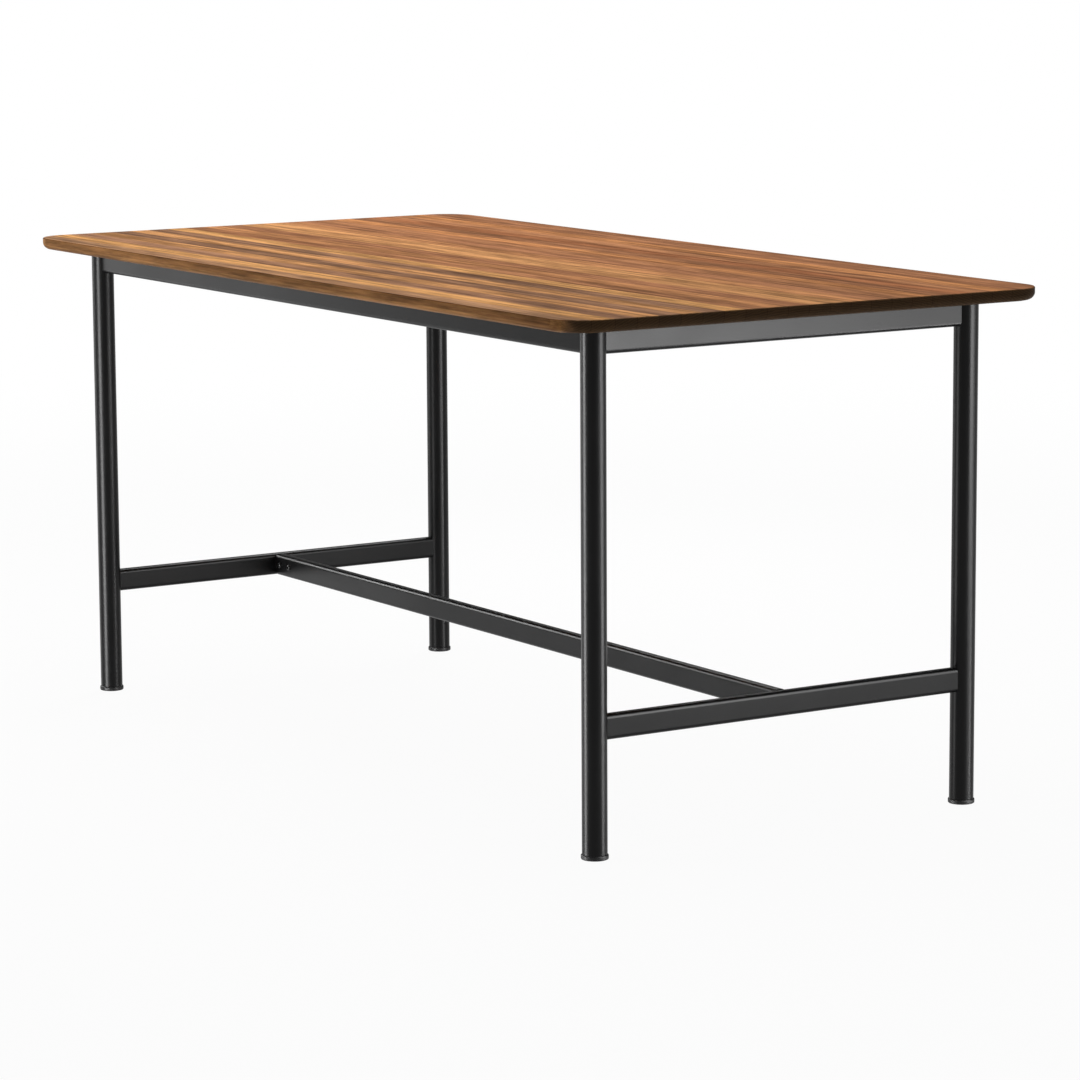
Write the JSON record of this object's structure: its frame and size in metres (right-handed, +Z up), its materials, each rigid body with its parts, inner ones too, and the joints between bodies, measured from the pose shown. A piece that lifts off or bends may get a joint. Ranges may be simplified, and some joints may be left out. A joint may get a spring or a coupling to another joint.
{
  "type": "butcher block table",
  "caption": "Dining table with a glued-up stave wood top on a black steel tube frame with round legs, flat aprons, an H-shaped stretcher and levelling feet.",
  "frame": {"origin": "on the floor, under the middle of the top", "axes": "+X along the table, +Y from its front to its rear, +Z up"},
  "size_m": [1.6, 0.8, 0.74],
  "materials": {
    "wood_golden": "oiled, golden brown with fine streaks along the grain",
    "wood_brown": "oiled, mid brown with fine streaks along the grain",
    "wood_dark": "oiled, dark grey-brown with fine streaks along the grain",
    "frame_black": "satin black powder coat",
    "black_screws": "black coated steel",
    "zinc_steel": "bright zinc plate",
    "foot_plastic": "black nylon, fine moulded texture"
  },
  "bodies": {
    "table": {"top_stave_01": "wood_dark", "top_stave_02": "wood_golden", "top_stave_03": "wood_dark", "top_stave_04": "wood_golden", "top_stave_05": "wood_dark", "top_stave_06": "wood_golden", "top_stave_07": "wood_dark", "top_stave_08": "wood_golden", "top_stave_09": "wood_brown", "top_stave_10": "wood_brown", "top_stave_11": "wood_dark", "top_stave_12": "wood_golden", "top_stave_13": "wood_golden", "top_stave_14": "wood_golden", "top_stave_15": "wood_dark", "top_stave_16": "wood_dark", "top_stave_17": "wood_golden", "top_stave_18": "wood_brown", "top_stave_19": "wood_brown", "top_stave_20": "wood_brown", "top_stave_21": "wood_golden", "top_stave_22": "wood_brown", "top_stave_23": "wood_brown", "leg_front_left": "frame_black", "leg_front_right": "frame_black", "leg_rear_left": "frame_black", "leg_rear_right": "frame_black", "apron_front": "frame_black", "apron_rear": "frame_black", "apron_left": "frame_black", "apron_right": "frame_black", "end_stretcher_left": "frame_black", "end_stretcher_right": "frame_black", "centre_stretcher": "frame_black", "stretcher_spigot_left": "frame_black", "stretcher_spigot_right": "frame_black", "stretcher_screws": "black_screws", "corner_plate_front_left": "frame_black", "corner_plate_front_right": "frame_black", "corner_plate_rear_left": "frame_black", "corner_plate_rear_right": "frame_black", "top_tab_front_left": "frame_black", "top_tab_front_right": "frame_black", "top_tab_rear_left": "frame_black", "top_tab_rear_right": "frame_black", "top_screws": "zinc_steel", "top_inserts": "zinc_steel", "foot_insert_front_left": "foot_plastic", "foot_insert_front_right": "foot_plastic", "foot_insert_rear_left": "foot_plastic", "foot_insert_rear_right": "foot_plastic"},
    "pad_front_left": {"foot_pad_front_left": "foot_plastic"},
    "stud_front_left": {"foot_stud_front_left": "zinc_steel"},
    "pad_front_right": {"foot_pad_front_right": "foot_plastic"},
    "stud_front_right": {"foot_stud_front_right": "zinc_steel"},
    "pad_rear_left": {"foot_pad_rear_left": "foot_plastic"},
    "stud_rear_left": {"foot_stud_rear_left": "zinc_steel"},
    "pad_rear_right": {"foot_pad_rear_right": "foot_plastic"},
    "stud_rear_right": {"foot_stud_rear_right": "zinc_steel"}
  },
  "joints": [
    {"name": "foot_travel_front_left", "type": "slide", "parent": "table", "child": "pad_front_left", "axis": [0, 0, -1], "range_m": [0, 0.012]},
    {"name": "foot_turn_front_left", "type": "hinge", "parent": "pad_front_left", "child": "stud_front_left", "pos_m": [-0.72, -0.313, 0], "axis": [0, 0, -1], "range_deg": [0, 3456]},
    {"name": "foot_travel_front_right", "type": "slide", "parent": "table", "child": "pad_front_right", "axis": [0, 0, -1], "range_m": [0, 0.012]},
    {"name": "foot_turn_front_right", "type": "hinge", "parent": "pad_front_right", "child": "stud_front_right", "pos_m": [0.72, -0.313, 0], "axis": [0, 0, -1], "range_deg": [0, 3456]},
    {"name": "foot_travel_rear_left", "type": "slide", "parent": "table", "child": "pad_rear_left", "axis": [0, 0, -1], "range_m": [0, 0.012]},
    {"name": "foot_turn_rear_left", "type": "hinge", "parent": "pad_rear_left", "child": "stud_rear_left", "pos_m": [-0.72, 0.313, 0], "axis": [0, 0, -1], "range_deg": [0, 3456]},
    {"name": "foot_travel_rear_right", "type": "slide", "parent": "table", "child": "pad_rear_right", "axis": [0, 0, -1], "range_m": [0, 0.012]},
    {"name": "foot_turn_rear_right", "type": "hinge", "parent": "pad_rear_right", "child": "stud_rear_right", "pos_m": [0.72, 0.313, 0], "axis": [0, 0, -1], "range_deg": [0, 3456]}
  ],
  "couplings": [
    {"joint": "foot_turn_front_left", "follows": "foot_travel_front_left", "rad_per_m": 5026.5},
    {"joint": "foot_turn_front_right", "follows": "foot_travel_front_right", "rad_per_m": 5026.5},
    {"joint": "foot_turn_rear_left", "follows": "foot_travel_rear_left", "rad_per_m": 5026.5},
    {"joint": "foot_turn_rear_right", "follows": "foot_travel_rear_right", "rad_per_m": 5026.5}
  ]
}
